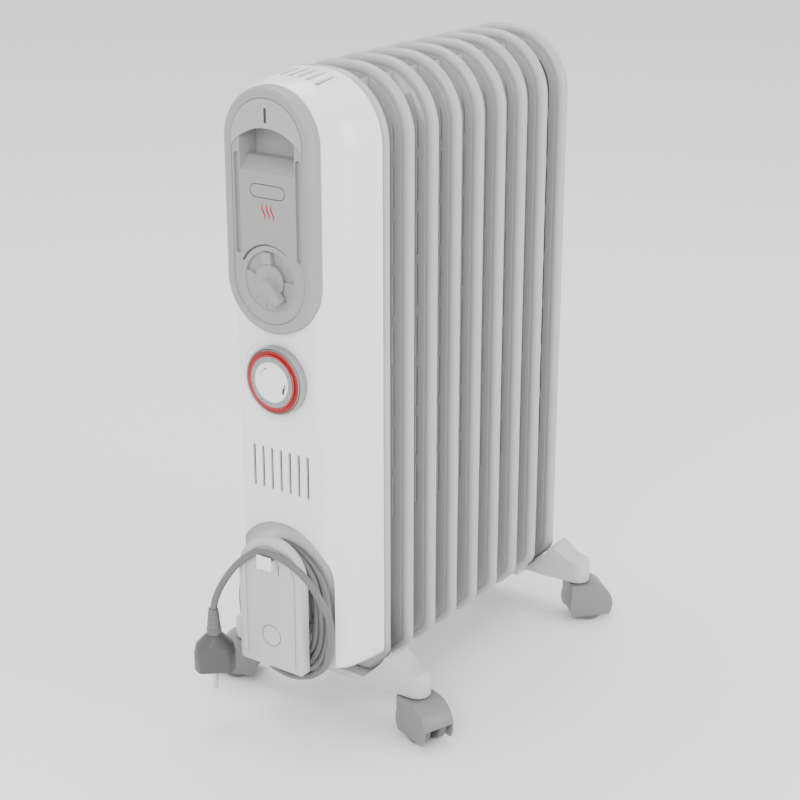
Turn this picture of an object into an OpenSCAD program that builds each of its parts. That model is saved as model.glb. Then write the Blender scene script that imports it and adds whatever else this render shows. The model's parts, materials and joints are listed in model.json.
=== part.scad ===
// Oil filled radiator heater: nine pressed fins, front control cover, cord store and casters.
// Units are millimetres. +Z is up, the control panel faces -Y and the floor is Z = 0.

/* [Fins] */
// Width of a fin, side to side
fin_w = 150; // [130:1:190]
// Distance from one fin to the next
fin_pitch = 40; // [34:0.5:50]
// Height of the top of the fins above the floor
fin_top_z = 664; // [540:1:800]
// Height of the bottom of the fins above the floor
fin_bottom_z = 56; // [50:1:70]
// Radius of a fin's upper corners
fin_corner_r = 66; // [50:1:70]
// Size of the slanted lower corners
fin_chamfer = 21; // [16:1:26]
// Radius of the rolled edge
rim_r = 6.5; // [5:0.1:7.5]
// Thickness of the steel sheet
sheet_t = 1.2; // [0.8:0.1:1.6]
// Bend radius of the rolled edge at the lower corners
elbow_r = 12; // [9:1:16]
// How far the rolled edge turns back inwards behind the fin
curl_lip = 3; // [1.5:0.5:4.5]

/* [Slots in the fins] */
// Width of a slot
slot_w = 2.8; // [2:0.1:4]
// Length of a straight slot
slot_len = 42.3; // [34:0.1:46]
// Gap between two slots in a column
slot_gap = 10; // [6:0.5:14]
// Distance of the slot column from the fin's edge
slot_inset = 19.2; // [17:0.1:24]
// How far round the corner the top slot reaches, in degrees
slot_arc = 42; // [30:1:50]
// Straight length below the curved part of the top slot
slot_tail = 16; // [10:1:20]

/* [Oil circuit] */
// Height of the lower header
header_low_z = 120; // [112:1:140]
// Distance from the upper header to the top of the fins
header_drop = 46; // [40:1:60]
// Radius of the header chamber in a fin
header_r = 22; // [20:0.5:24]
// Radius of the neck that joins two fins
neck_r = 16; // [14:0.5:17]
// Radius of the upright oil channels
channel_r = 5.2; // [4:0.1:5.4]
// Spacing of the upright oil channels
channel_gap = 15; // [13:0.5:16]
// Wall of the headers and channels
oil_wall = 1.6; // [1.2:0.1:2.4]
// Distance of a duct wall from the middle
duct_x = 27; // [26:0.5:32]
// Distance from the duct's upper edge to the top of the fins
duct_drop = 13; // [8:1:30]
// Radius of the heating rod
rod_r = 4; // [3:0.1:5]

/* [Front cover] */
// Half width of the cover's flat front
front_half = 48; // [44:1:52]
// Half width where the slanted side ends
side_half = 66.5; // [62:0.5:70]
// How far the cover stands in front of the first fin's middle
front_out = 73; // [66:1:84]
// Depth of the slanted side, front to back
slant_deep = 23; // [18:1:28]
// Distance from the cover's back edge to the first fin's middle
cover_back = 9; // [8:0.5:12]
// Wall of the cover
cover_t = 2.5; // [2:0.1:3.5]
// Height of the cover's lower edge
cover_low_z = 80; // [76:1:90]
// How much lower the front edge of the arch is than the fins
front_drop = 8; // [4:1:14]
// Radius of the cover's lower corners
cover_low_r = 12; // [8:1:16]
// Number of upright grille slots
grille_count = 7; // [5:1:9]
// Spacing of the grille slots
grille_gap = 10.8; // [8:0.1:10.8]
// Width of a grille slot
grille_w = 3; // [2:0.1:4]
// Length of a grille slot
grille_len = 43.5; // [30:0.5:56]
// Height of the middle of the grille
grille_z = 285.5; // [280:0.5:300]
// Number of vents on top of the cover
vent_count = 7; // [3:2:7]
// Spacing of the top vents
vent_gap = 10; // [8:0.5:11]
// Length of a top vent
vent_len = 29; // [20:1:34]

/* [Control panel] */
// Outer half width of the bezel
bezel_r = 51.5; // [48:0.5:54]
// Inner half width of the bezel
bezel_in_r = 41; // [39:0.5:44]
// Height of the centre of the lower dial
dial_z = 477; // [470:1:490]
// Distance from the centre of the bezel's upper end to the top of the fins
bezel_drop = 59; // [56:1:70]
// How far the bezel stands in front of its seat
bezel_deep = 14; // [10:0.5:18]
// Rounding of the bezel's outer edge
bezel_round = 6; // [3:0.5:8]
// Gap between the fascia and the bezel
fascia_gap = 0.3; // [0.2:0.05:0.6]
// Wall of the fascia
fascia_t = 2.4; // [2:0.1:3]
// Radius of the dial's dish
dish_r = 28.5; // [26:0.5:30]
// Depth of the dish
dish_deep = 4; // [3:0.5:5]
// Radius of the power selector knob
knob_r = 16; // [14:0.5:17]
// Reach of the pointer grip from the knob's centre
grip_reach = 23.5; // [20:0.5:25]
// Height of the pointer grip above the knob's face
grip_out = 9; // [6:0.5:12]
// Radius of the inner control shaft
shaft_r = 3; // [2.5:0.1:3.4]
// Running clearance of shafts, dials and wheels
run_gap = 0.06; // [0.03:0.01:0.09]

/* [Timer] */
// Height of the timer's centre
timer_z = 379; // [372:1:386]
// Radius of the timer's body
timer_r = 33.6; // [31:0.2:36]
// Radius of the round seat in the cover
timer_seat_r = 42; // [40:0.5:44]
// How far the timer's body stands in front of the cover
timer_out = 8; // [6:0.5:10]
// Number of tappets round the dial, one for each quarter of an hour
tappet_count = 96; // [48:24:96]
// Outer radius of the tappet ring
tappet_r = 30.4; // [30:0.1:31]
// Radial length of a tappet
tappet_len = 3.3; // [2.5:0.1:3.6]
// Outer radius of the number ring
ring_r = 25; // [24:0.1:26]
// Radius of the fixed centre disc
disc_r = 19.8; // [18:0.1:20.5]
// Radius of the fixed spindle under the centre disc
spindle_r = 1.5; // [1.2:0.1:2]

/* [Cord store] */
// Half width of the cord plate
plate_r = 39; // [36:0.5:42]
// Height of the centre of the plate's round top
plate_top_z = 182; // [180:1:188]
// Height of the plate's lower edge
plate_low_z = 84; // [82:1:92]
// Thickness of the plate
plate_t = 10; // [7:0.5:11]
// How far the plate's face stands in front of the first fin's middle
plate_out = 94; // [92:1:100]
// Radius of the hollow behind the plate, at the cover's face
hollow_r = 59; // [57:1:62]
// Height of the centre of the hollow's round top
hollow_z = 172; // [170:1:176]
// Depth of the hollow
hollow_deep = 15; // [12:0.5:16]
// Half width of the spool that the cord winds on
spool_r = 22; // [20:0.5:23]
// Wall of the spool
spool_t = 3; // [2:0.5:4]
// Width of the cord clip
clip_w = 18; // [14:1:22]

/* [Feet] */
// Distance of a caster stem from the middle
stem_x = 109.5; // [100:0.5:120]
// Height of the lower face of the foot arms
arm_low_z = 47; // [47:0.5:48]
// Half width of a foot arm at its end
arm_half = 13.5; // [12:0.5:16]
// Radius of the caster stem
stem_r = 3.5; // [3:0.1:3.8]
// Radius of a caster wheel
wheel_r = 20; // [18:0.5:20]
// Width of a caster wheel
wheel_w = 11; // [9:0.5:11]
// Distance from the stem to the wheel's axle
trail = 12; // [10:0.5:15]
// Radius of the axle
axle_r = 2.5; // [2:0.1:3]
// Thickness of the caster hood over the wheels
hood_t = 3.7; // [3:0.1:4]
// Swivel angle of the front casters at rest, out of the side direction
front_swivel = -20; // [-40:5:0]
// Swivel angle of the rear casters at rest, out of the side direction
rear_swivel = 48; // [20:1:60]

/* [Hidden] */
$fn = 48;
fin_count = 9;

// Fins
fin_half = fin_w / 2;
arc_x = fin_half - fin_corner_r;
arc_z = fin_top_z - fin_corner_r;
// The flat of a pressed fin lies a little behind the crest of its rolled edge.
face_y = rim_r - 0.6;
edge_in = rim_r + curl_lip + 2.5;
hair = 0.02;
slot_r = fin_corner_r - slot_inset;
slot_x = fin_half - slot_inset;
slot_count = 7;
header_high_z = fin_top_z - header_drop;
duct_low_z = header_low_z - header_r + 2;
rear_y = (fin_count - 1) * fin_pitch;

// Cover and panel
seat_y = front_out - 3;
bezel_top_z = fin_top_z - bezel_drop;
panel_y = seat_y + bezel_deep;
fascia_r = bezel_in_r - fascia_gap;
fascia_y = panel_y - 1;
// Heights in the panel hang from its upper end.
shelf_z = bezel_top_z - 15;
cap_edge_z = bezel_top_z + 14;
cap_edge_r = 53;
groove_x = 32.5;
groove_low_z = dial_z + 22;
shelf_drop = 12;
tub_y = 56;
tub_r = 34;
cap_seat = 6;
window_half = 27;
hollow_y = front_out - hollow_deep;
plate_y = 7.4;

// Controls: radii and places along the panel's depth
dish_y = fascia_y - dish_deep;
sleeve_r = shaft_r + 2.4;
lever_y = dish_y + 1.4;
knob_y = lever_y + 3.4;

// Timer
timer_y = front_out + timer_out;
dial_y = timer_y + 3;
motor_y = 14;

// Feet and casters
front_arm_y = 0;
rear_arm_y = rear_y;
hood_top_z = arm_low_z - 2;
axle_z = wheel_r;
hood_r = wheel_r + 1.3 + hood_t;
web_half = stem_r + 0.8;
wheel_in = web_half + 0.5;
skirt_in = wheel_in + wheel_w + 0.5;
hood_half = skirt_in + 1.8;
bolt_r = 3;
bolt_x = neck_r + 0.5 + bolt_r;

// The cord, 7 mm across
cord_r = 3.5;
coil_low_band = 28.3;
coil_top_band = 20;
coil_top_z = 172;
coil_top_r = 46;
coil_low_z = 128;
coil_low_r = 64;
coil_y0 = -80;
coil_y1 = -66;
plug_at = [-68, -102, 66];
plug_turn = 39;
tail_route = [[29.5, -64, 126], [29.5, -70, 134], [30.5, -72.5, 142], [31.5, -73, 152], [31, -72, 163]];
cord_route = [[50, -74, 96], [60, -80, 112], [68, -86, 134], [69, -92, 158], [62, -97, 178],
  [49, -98, 193], [32, -98, 203], [13, -98, 208], [-6, -98, 208], [-24, -98, 199], [-40, -99, 184],
  [-54, -100, 165], [-63, -101, 148], [-67, -102, 134], [-68, -102, 120]];

// The whole model is moved so that the middle of its length is at Y = 0.
clip_out = plate_out + 10;
hood_reach = trail + hood_r;
back_y = rear_arm_y + hood_reach * sin(rear_swivel) + hood_half * cos(rear_swivel);
mid_y = (back_y - clip_out) / 2;

// ---------- helpers ----------
module place() {
  translate([0, -mid_y, 0]) children();
}

module both_sides() {
  children();
  mirror([1, 0, 0]) children();
}

// A flat outline drawn in X and Z, thickened from y0 to y1.
module slab(y0, y1) {
  translate([0, y1, 0]) rotate([90, 0, 0]) linear_extrude(y1 - y0) children();
}

// A round bar along Y.
module bar_y(r, y0, y1, x = 0, z = 0, fn = 48) {
  translate([x, y1, z]) rotate([90, 0, 0]) cylinder(r = r, h = y1 - y0, $fn = fn);
}

module box(x0, x1, y0, y1, z0, z1) {
  translate([x0, y0, z0]) cube([x1 - x0, y1 - y0, z1 - z0]);
}

// An upright outline with round ends, of half width r.
module obround(r, z0, z1) {
  translate([0, z0]) circle(r);
  translate([0, z1]) circle(r);
  translate([-r, z0]) square([2 * r, z1 - z0]);
}

// A section, given as radius and distance forwards, carried round an upright obround.
module obround_sweep(z0, z1) {
  translate([0, 0, z1]) rotate([90, 0, 0]) rotate_extrude(angle = 180) children();
  translate([0, 0, z0]) rotate([90, 0, 0]) rotate([0, 0, 180]) rotate_extrude(angle = 180) children();
  both_sides() translate([0, 0, z0]) mirror([0, 1, 0]) linear_extrude(z1 - z0) children();
}

// ---------- fins ----------
// Outline of a fin, drawn d inside its edge.
module fin_outline(d) {
  k = d * (sqrt(2) - 1);
  polygon([[fin_half - d, arc_z], [fin_half - d, fin_bottom_z + fin_chamfer + k],
    [fin_half - fin_chamfer - k, fin_bottom_z + d], [-fin_half + fin_chamfer + k, fin_bottom_z + d],
    [-fin_half + d, fin_bottom_z + fin_chamfer + k], [-fin_half + d, arc_z]]);
  for (s = [-1, 1]) translate([s * arc_x, arc_z]) circle(fin_corner_r - d, $fn = 96);
  translate([-arc_x, arc_z]) square([2 * arc_x, fin_corner_r - d]);
}

// Section through the rolled edge: x is minus the distance in from the outer edge, and skin is how far
// its faces lie inside the true ones. A closed edge carries a sheet at the back as well. Its flats lie
// a hair inside the sheet that they run into.
module edge_section(closed, skin) {
  y0 = -face_y + skin + hair / 2;
  y1 = -face_y + sheet_t - skin - hair / 2;
  difference() {
    union() {
      translate([-rim_r, 0]) circle(rim_r - skin);
      translate([-edge_in, y0]) square([edge_in - rim_r, y1 - y0]);
      if (closed) translate([-edge_in, -y1]) square([edge_in - rim_r, y1 - y0]);
    }
    translate([-rim_r, 0]) circle(rim_r - sheet_t + skin);
    translate([-edge_in - 5, y1])
      square([edge_in + 5 - rim_r - curl_lip + skin, closed ? -2 * y1 : 20]);
  }
}

// Bends of the edge, anticlockwise from the lower right: centre x and z, outer radius,
// direction of the outer side at the start, and angle turned.
bend_r = elbow_r + rim_r;
bend_t = bend_r * tan(22.5);
bends = [[fin_half - bend_r, fin_bottom_z + fin_chamfer + bend_t, bend_r, -45, 45],
  [arc_x, arc_z, fin_corner_r, 0, 90],
  [-arc_x, arc_z, fin_corner_r, 90, 90],
  [-fin_half + bend_r, fin_bottom_z + fin_chamfer + bend_t, bend_r, 180, 45],
  [-fin_half + fin_chamfer + bend_t, fin_bottom_z + bend_r, bend_r, 225, 45],
  [fin_half - fin_chamfer - bend_t, fin_bottom_z + bend_r, bend_r, 270, 45]];
function rim_point(b, a) = [b[0] + b[2] * cos(a), 0, b[1] + b[2] * sin(a)];

// The rolled edge: its section turned round each bend, and drawn along each straight run a hair inside
// the bends' faces and a little way into them.
module rolled_edge(closed) {
  lap = 0.4;
  for (i = [0 : len(bends) - 1]) let (b = bends[i], next = bends[(i + 1) % len(bends)], a = b[3] + b[4]) {
    translate([b[0], 0, b[1]]) rotate([-90, 0, 0]) rotate([0, 0, -a])
      rotate_extrude(angle = b[4]) translate([b[2], 0]) edge_section(closed, 0);
    translate(rim_point(b, a)) rotate([0, -a, 0]) translate([0, 0, -lap])
      linear_extrude(norm(rim_point(next, a) - rim_point(b, a)) + 2 * lap) edge_section(closed, hair);
  }
}

// One column of slots on the right: a curved one at the top and straight ones below it.
module slot_column() {
  translate([arc_x, arc_z]) {
    intersection() {
      difference() {
        circle(slot_r + slot_w / 2, $fn = 96);
        circle(slot_r - slot_w / 2, $fn = 96);
      }
      polygon([[0, 0], [2 * slot_r, 0], [2 * slot_r * cos(slot_arc), 2 * slot_r * sin(slot_arc)]]);
    }
    // The end cap is a hair narrower than the slot, so that it meets the cut end squarely.
    rotate(slot_arc) translate([slot_r, 0]) circle(slot_w / 2 - hair, $fn = 24);
    translate([slot_r - slot_w / 2, -slot_tail]) square([slot_w, slot_tail]);
    translate([slot_r, -slot_tail]) circle(slot_w / 2, $fn = 24);
  }
  for (i = [0 : slot_count - 1])
    let (top = arc_z - slot_tail - slot_gap - slot_w - i * (slot_len + slot_gap)) {
      translate([slot_x - slot_w / 2, top - slot_len + slot_w]) square([slot_w, slot_len - slot_w]);
      translate([slot_x, top]) circle(slot_w / 2, $fn = 24);
      translate([slot_x, top - slot_len + slot_w]) circle(slot_w / 2, $fn = 24);
    }
}

// Headers and channels; grow is minus the wall for the space inside.
module oil_space(grow) {
  for (z = [header_low_z, header_high_z]) bar_y(header_r + grow, -face_y + 0.6 - grow, 5.5 + grow, 0, z);
  for (i = [-1 : 1]) translate([i * channel_gap, 0, header_low_z])
    cylinder(r = channel_r + grow, h = header_high_z - header_low_z, $fn = 32);
}

module fin(i) {
  last = i == fin_count - 1;
  reach = fin_pitch - face_y;
  color("gainsboro") translate([0, i * fin_pitch, 0]) difference() {
    union() {
      rolled_edge(last);
      slab(-face_y, -face_y + sheet_t) fin_outline(edge_in - 1.5);
      if (last) slab(face_y - sheet_t, face_y) fin_outline(edge_in - 1.5);
      oil_space(0);
      if (!last) {
        for (z = [header_low_z, header_high_z]) bar_y(neck_r, 0, reach, 0, z);
        both_sides() box(duct_x, duct_x + sheet_t, -face_y + 0.6, reach - 0.3,
          duct_low_z, fin_top_z - duct_drop);
      }
    }
    oil_space(-oil_wall);
    for (z = [header_low_z, header_high_z])
      bar_y(neck_r - oil_wall, -rim_r - 1, last ? 0 : fin_pitch, 0, z);
    both_sides() slab(-rim_r - 1, last ? rim_r + 1 : -face_y + sheet_t + 1) slot_column();
  }
}

// ---------- inside the oil circuit ----------
module heating_element() {
  bend = 6;
  rod_end = rear_y - 30;
  color("dimgray") place() {
    for (s = [-1, 1]) bar_y(rod_r, -24, rod_end, s * bend, header_low_z, 32);
    translate([0, rod_end, header_low_z]) rotate_extrude(angle = 180)
      translate([bend, 0]) circle(rod_r, $fn = 32);
  }
}

module screwed_plug(z) {
  bar_y(neck_r - oil_wall - run_gap, -plate_y, 2, 0, z);
  bar_y(neck_r + 4, -plate_y - 5, -plate_y, 0, z);
}

module element_flange() {
  color("silver") place() difference() {
    screwed_plug(header_low_z);
    for (s = [-1, 1]) bar_y(rod_r + 0.02, -30, 10, s * 6, header_low_z, 32);
  }
}

module filler_plug() {
  color("silver") place() difference() {
    screwed_plug(header_high_z);
    bar_y(6, -30, -plate_y - 2, 0, header_high_z, 6);
  }
}

// ---------- electrical frame behind the cover ----------
screw_spots = [[-33, dial_z + 43], [33, dial_z + 43], [0, cover_low_z + 10], [0, header_low_z + 46]];

module mounting_plate() {
  color("lightgray") place() difference() {
    union() {
      slab(-plate_y, -face_y) fin_outline(14);
      for (p = screw_spots)
        bar_y(5, -(p[1] > 300 ? seat_y - cover_t : hollow_y - cover_t), -plate_y, p[0], p[1], 32);
    }
    for (z = [header_low_z, header_high_z]) bar_y(neck_r - oil_wall, -plate_y - 1, 0, 0, z);
    for (p = screw_spots)
      bar_y(1.9, -(p[1] > 300 ? seat_y : hollow_y), -30, p[0], p[1], 24);
  }
}

module cover_screws() {
  color("silver") place() for (p = screw_spots)
    let (y = p[1] > 300 ? seat_y : hollow_y) difference() {
      union() {
        bar_y(1.84, -y, -y + 14, p[0], p[1], 24);
        bar_y(3.5, -y - 2.2, -y, p[0], p[1], 32);
      }
      box(p[0] - 0.5, p[0] + 0.5, -y - 3, -y - 1.4, p[1] - 2.5, p[1] + 2.5);
    }
}

module thermal_cutout() {
  color("ivory") place() {
    bar_y(9, -plate_y - 8, -plate_y, -36, 230, 40);
    box(-42, -40, -plate_y - 14, -plate_y - 8, 227, 233);
    box(-32, -30, -plate_y - 14, -plate_y - 8, 227, 233);
  }
}

module terminal_block() {
  color("ivory") place() difference() {
    box(18, 48, -plate_y - 14, -plate_y, 206, 250);
    for (i = [0 : 2]) translate([33, -plate_y - 7, 213 + i * 15]) rotate([0, 90, 0])
      cylinder(r = 2, h = 40, center = true, $fn = 24);
  }
}

module tilt_switch() {
  color("black") place() union() {
    box(-52, -34, -plate_y - 16, -plate_y, 150, 176);
    bar_y(3, -plate_y - 20, -plate_y - 16, -43, 163, 24);
  }
}

// ---------- front cover ----------
// Outline of the cover with a round top and rounded lower corners.
module cover_outline(half, corner, top, low) {
  translate([-half + cover_low_r, low]) square([2 * (half - cover_low_r), cover_low_r]);
  translate([-half, low + cover_low_r]) square([2 * half, top - corner - low - cover_low_r]);
  for (s = [-1, 1]) {
    translate([s * (half - corner), top - corner]) circle(corner, $fn = 64);
    translate([s * (half - cover_low_r), low + cover_low_r]) circle(cover_low_r, $fn = 32);
  }
  translate([-half + corner, top - corner]) square([2 * (half - corner), corner]);
}

module cover_slice(y, half, corner, top, low) {
  slab(-y, -y + 0.01) cover_outline(half, corner, top, low);
}

// The cover's full shape, drawn d inside its surface and open at the back.
module cover_form(d) {
  slant_y = front_out - slant_deep;
  hull() {
    cover_slice(front_out - d, front_half - d * 0.7, front_half - 2 - d * 0.7,
      fin_top_z - front_drop - d, cover_low_z + 5 + d);
    cover_slice(slant_y, side_half - d, fin_corner_r - 6 - d, fin_top_z - 3 - d, cover_low_z + d);
  }
  hull() {
    cover_slice(slant_y, side_half - d, fin_corner_r - 6 - d, fin_top_z - 3 - d, cover_low_z + d);
    cover_slice(cover_back, fin_half - d, fin_corner_r - d, fin_top_z - d, cover_low_z + d);
  }
  if (d > 0) slab(-cover_back, 5) cover_outline(fin_half - d, fin_corner_r - d, fin_top_z - d, cover_low_z + d);
}

// Hollow for the wound cord: a scoop with a rounded edge, open below. grow is the wall behind it.
module cord_hollow(grow) {
  r0 = hollow_r - hollow_deep;
  module section() {
    square([r0 + 0.01, 120]);
    translate([0, hollow_y - grow]) square([r0, 120]);
    intersection() {
      translate([r0, front_out + 1]) circle(hollow_deep + 1 + grow, $fn = 64);
      translate([r0 - 0.01, 0]) square([80, front_out + 1]);
    }
    translate([r0, front_out + 1]) square([hollow_deep + 1 + grow, 40]);
  }
  intersection() {
    union() {
      translate([0, 0, hollow_z]) rotate([90, 0, 0]) rotate_extrude(angle = 180) section();
      both_sides() translate([0, 0, 40]) mirror([0, 1, 0]) linear_extrude(hollow_z - 40) section();
    }
    box(-100, 100, -140, -hollow_y + grow, 0, 300);
  }
}

module front_cover() {
  color("white") place() difference() {
    cover_form(0);
    difference() {
      cover_form(cover_t);
      cord_hollow(cover_t);
      slab(-seat_y - 9, -seat_y + cover_t) obround(bezel_r + 2, dial_z, bezel_top_z);
    }
    cord_hollow(0);
    slab(-front_out - 5, -seat_y) obround(bezel_r + 0.3, dial_z, bezel_top_z);
    // Window behind the fascia: wide behind the grip, narrow behind the dial.
    slab(-front_out - 5, -40) tub_outline(tub_r + 1, shelf_z - fascia_t - 1);
    box(-window_half, window_half, -front_out - 5, -40, dial_z - 22, shelf_z);
    for (p = screw_spots) bar_y(2.1, -front_out - 5, -40, p[0], p[1], 24);
    // Shallow seat of the timer, and the hole for its body.
    bar_y(timer_seat_r, -front_out - 1, -front_out + 0.6, 0, timer_z, 64);
    bar_y(timer_r - 4, -front_out - 5, -40, 0, timer_z, 64);
    for (i = [0 : grille_count - 1]) slab(-front_out - 5, -front_out + 10)
      translate([(i - (grille_count - 1) / 2) * grille_gap, 0])
        obround(grille_w / 2, grille_z - grille_len / 2, grille_z + grille_len / 2);
    for (i = [0 : vent_count - 1])
      translate([(i - (vent_count - 1) / 2) * vent_gap, -front_out + slant_deep + 1, fin_top_z - 30])
        linear_extrude(60) obround(2, 2, vent_len - 2);
    // Way out for the cord, slanting upwards from low in the hollow.
    at_gland() translate([0, 0, -12]) cylinder(r = 6, h = 24, $fn = 32);
  }
}

// ---------- control panel ----------
module control_bezel() {
  band = bezel_r - bezel_in_r;
  r1 = min(bezel_round, band - 1);
  color("lightgray") place() obround_sweep(dial_z, bezel_top_z) {
    translate([bezel_in_r, seat_y]) square([band, bezel_deep - r1]);
    translate([bezel_in_r, seat_y]) square([band - r1, bezel_deep]);
    translate([bezel_r - r1, panel_y - r1]) intersection() {
      circle(r1);
      square(r1);
    }
  }
}

// Everything in the panel above an arch, for the handle cap.
module above_arch(rise) {
  difference() {
    translate([-100, bezel_top_z - 30]) square([200, 200]);
    translate([0, cap_edge_z - cap_edge_r + rise]) circle(cap_edge_r, $fn = 96);
    translate([-100, bezel_top_z - 40]) square([200, 30]);
  }
}

// Outline of the grip hollow, above a given height.
module tub_outline(r, low) {
  intersection() {
    obround(r, shelf_z - 30, bezel_top_z + 2);
    translate([-100, low]) square([200, 200]);
  }
}

// The space that fingers reach into, above a shelf that slopes down to the front.
module grip_hollow() {
  intersection() {
    slab(-panel_y - 1, -tub_y - fascia_t) tub_outline(tub_r - fascia_t, shelf_z - 2 * shelf_drop);
    rotate([0, -90, 0]) linear_extrude(200, center = true)
      polygon([[shelf_z - shelf_drop - 2, -panel_y - 1], [shelf_z, -seat_y], [shelf_z, 0],
        [fin_top_z, 0], [fin_top_z, -panel_y - 1]]);
  }
}

module fascia() {
  inner = fascia_r - fascia_t;
  color("lightgray") place() difference() {
    union() {
      slab(-fascia_y, -seat_y) obround(fascia_r, dial_z, bezel_top_z);
      slab(-seat_y, -tub_y) tub_outline(tub_r, shelf_z - fascia_t);
    }
    // Hollow back, leaving the face and the rim.
    difference() {
      slab(-fascia_y + fascia_t, -seat_y + 1) obround(inner, dial_z, bezel_top_z);
      slab(-fascia_y, -seat_y + 2) tub_outline(tub_r, shelf_z - shelf_drop - 2 * fascia_t);
      bar_y(dish_r + fascia_t, -fascia_y, -dish_y + fascia_t, 0, dial_z);
      both_sides() box(groove_x - fascia_t, fascia_r, -fascia_y, -fascia_y + 3.5 + fascia_t,
        groove_low_z - 6, bezel_top_z - 10);
    }
    grip_hollow();
    slab(-panel_y - 1, -fascia_y + cap_seat) above_arch(-0.3);
    // Grooves down both sides.
    for (s = [-1, 1]) slab(-panel_y, -fascia_y + 3.5) translate([s * (groove_x + 3), 0])
      obround(3, groove_low_z + 3, bezel_top_z - 14);
    // Dish of the dial, with the land that carries the numbers left standing.
    difference() {
      bar_y(dish_r, -panel_y, -dish_y, 0, dial_z, 64);
      difference() {
        bar_y(dish_r + 1, -dish_y - dish_deep + 1, -dish_y, 0, dial_z, 64);
        bar_y(knob_r + 0.6, -panel_y, -dish_y + 1, 0, dial_z, 64);
        slab(-panel_y, -dish_y + 1) translate([0, dial_z])
          polygon([[0, 0], [60, 5], [60, 60], [-60, 60], [-60, 16]]);
      }
    }
    bar_y(sleeve_r + run_gap, -panel_y, -40, 0, dial_z);
  }
}

module handle_cap() {
  color("silver") place() difference() {
    slab(-panel_y, -fascia_y + cap_seat) intersection() {
      obround(fascia_r, dial_z, bezel_top_z);
      above_arch(0);
    }
    slab(-panel_y - 1, -40) translate([0, cap_edge_z + 6]) obround(1.5, 0, 11);
  }
}

module indicator_lens() {
  color("black") place() slab(-panel_y + 0.5, -fascia_y + cap_seat)
    translate([0, cap_edge_z + 6]) obround(1.45, 0, 11);
}

// Thermostat lever: a ring on a sleeve, with a finger tab in the dish.
module thermostat_ring() {
  color("lightgray") place() difference() {
    union() {
      bar_y(knob_r - 0.4, -lever_y, -dish_y - 0.1, 0, dial_z);
      bar_y(sleeve_r, -dish_y - 0.1, -tub_y, 0, dial_z);
      intersection() {
        bar_y(dish_r - 1, -fascia_y - 1.5, -dish_y - 0.1, 0, dial_z);
        translate([0, 0, dial_z]) rotate([0, -7, 0]) box(-5, 5, -panel_y - 9, -40, 13, 40);
      }
    }
    bar_y(knob_r + 0.4, -panel_y - 9, -lever_y, 0, dial_z);
    bar_y(shaft_r + run_gap, -panel_y - 1, -40, 0, dial_z);
  }
}

module selector_knob() {
  tail = 4;
  color("gainsboro") place() {
    bar_y(knob_r, -knob_y, -lever_y - 0.15, 0, dial_z);
    bar_y(shaft_r, -lever_y - 0.15, -tub_y + 6, 0, dial_z);
    // Pointer grip: narrow at the tail, square at the tip, turned to the off mark.
    translate([0, -knob_y, dial_z]) rotate([0, 47, 0]) rotate([90, 0, 0]) linear_extrude(grip_out)
      polygon([[-tail, 0], [0, 5.5], [grip_reach, 4.5], [grip_reach, -4.5], [0, -5.5]]);
  }
}

module thermostat_body() {
  color("dimgray") place() difference() {
    box(-24, 24, -tub_y + 0.5, -tub_y + 22, dial_z - 20, dial_z + 20);
    bar_y(sleeve_r + 0.6, -tub_y - 1, -tub_y + 4, 0, dial_z);
    bar_y(shaft_r + 0.6, -tub_y - 1, -tub_y + 8, 0, dial_z);
  }
}

module selector_switch() {
  color("ivory") place() {
    box(-18, 18, -tub_y + 22, -plate_y, dial_z - 16, dial_z + 16);
  }
}

// ---------- timer ----------
module timer_housing() {
  color("lightgray") place() difference() {
    union() {
      bar_y(timer_r, -timer_y, -front_out + 0.6, 0, timer_z, 72);
      bar_y(timer_r - 4.3, -front_out + 0.6, -front_out + motor_y, 0, timer_z, 72);
    }
    bar_y(timer_r - 2.2, -timer_y - 1, -timer_y + 3, 0, timer_z, 72);
    bar_y(4, -timer_y - 1, -40, 0, timer_z, 32);
    bar_y(timer_r - 7, -front_out + 2, -40, 0, timer_z, 72);
  }
}

module timer_dial() {
  color("red") place() difference() {
    union() {
      bar_y(tappet_r + 0.4, -timer_y + 1, -timer_y + 2.9, 0, timer_z, 72);
      bar_y(ring_r + 2, -dial_y, -timer_y + 1, 0, timer_z, 72);
      bar_y(4 - run_gap, -timer_y + 2.9, -front_out + motor_y - 1, 0, timer_z, 32);
    }
    bar_y(disc_r + 0.3, -dial_y - 1, -timer_y - 0.5, 0, timer_z, 72);
    bar_y(spindle_r + run_gap, -dial_y, -front_out + 20, 0, timer_z, 32);
  }
}

// One tappet lying at twelve o'clock.
module tappet() {
  pitch = 360 * (tappet_r - tappet_len / 2) / tappet_count * PI / 180;
  box(-0.36 * pitch, 0.36 * pitch, -timer_y - 1.8, -timer_y + 1, tappet_r - tappet_len, tappet_r);
}

module timer_tappets() {
  color("red") place() translate([0, 0, timer_z])
    for (i = [1 : tappet_count - 1]) rotate([0, i * 360 / tappet_count, 0]) tappet();
}

module timer_tappet() {
  color("red") place() translate([0, 0, timer_z]) tappet();
}

module timer_face() {
  color("whitesmoke") place() difference() {
    union() {
      bar_y(disc_r, -dial_y - 0.4, -timer_y - 0.6, 0, timer_z, 72);
      bar_y(spindle_r, -timer_y - 0.6, -front_out + motor_y + 1.5, 0, timer_z, 32);
    }
    translate([0, 0, timer_z]) rotate([0, 17, 0]) slab(-dial_y - 2, -timer_y - 1.6)
      translate([disc_r - 4.5, 0]) obround(1.3, -4, 4);
  }
}

module timer_override() {
  color("black") place() translate([0, 0, timer_z]) rotate([0, 17, 0])
    slab(-dial_y + 0.2, -timer_y - 1.66) translate([disc_r - 4.5, 0]) obround(1.24, -4, 0);
}

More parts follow.
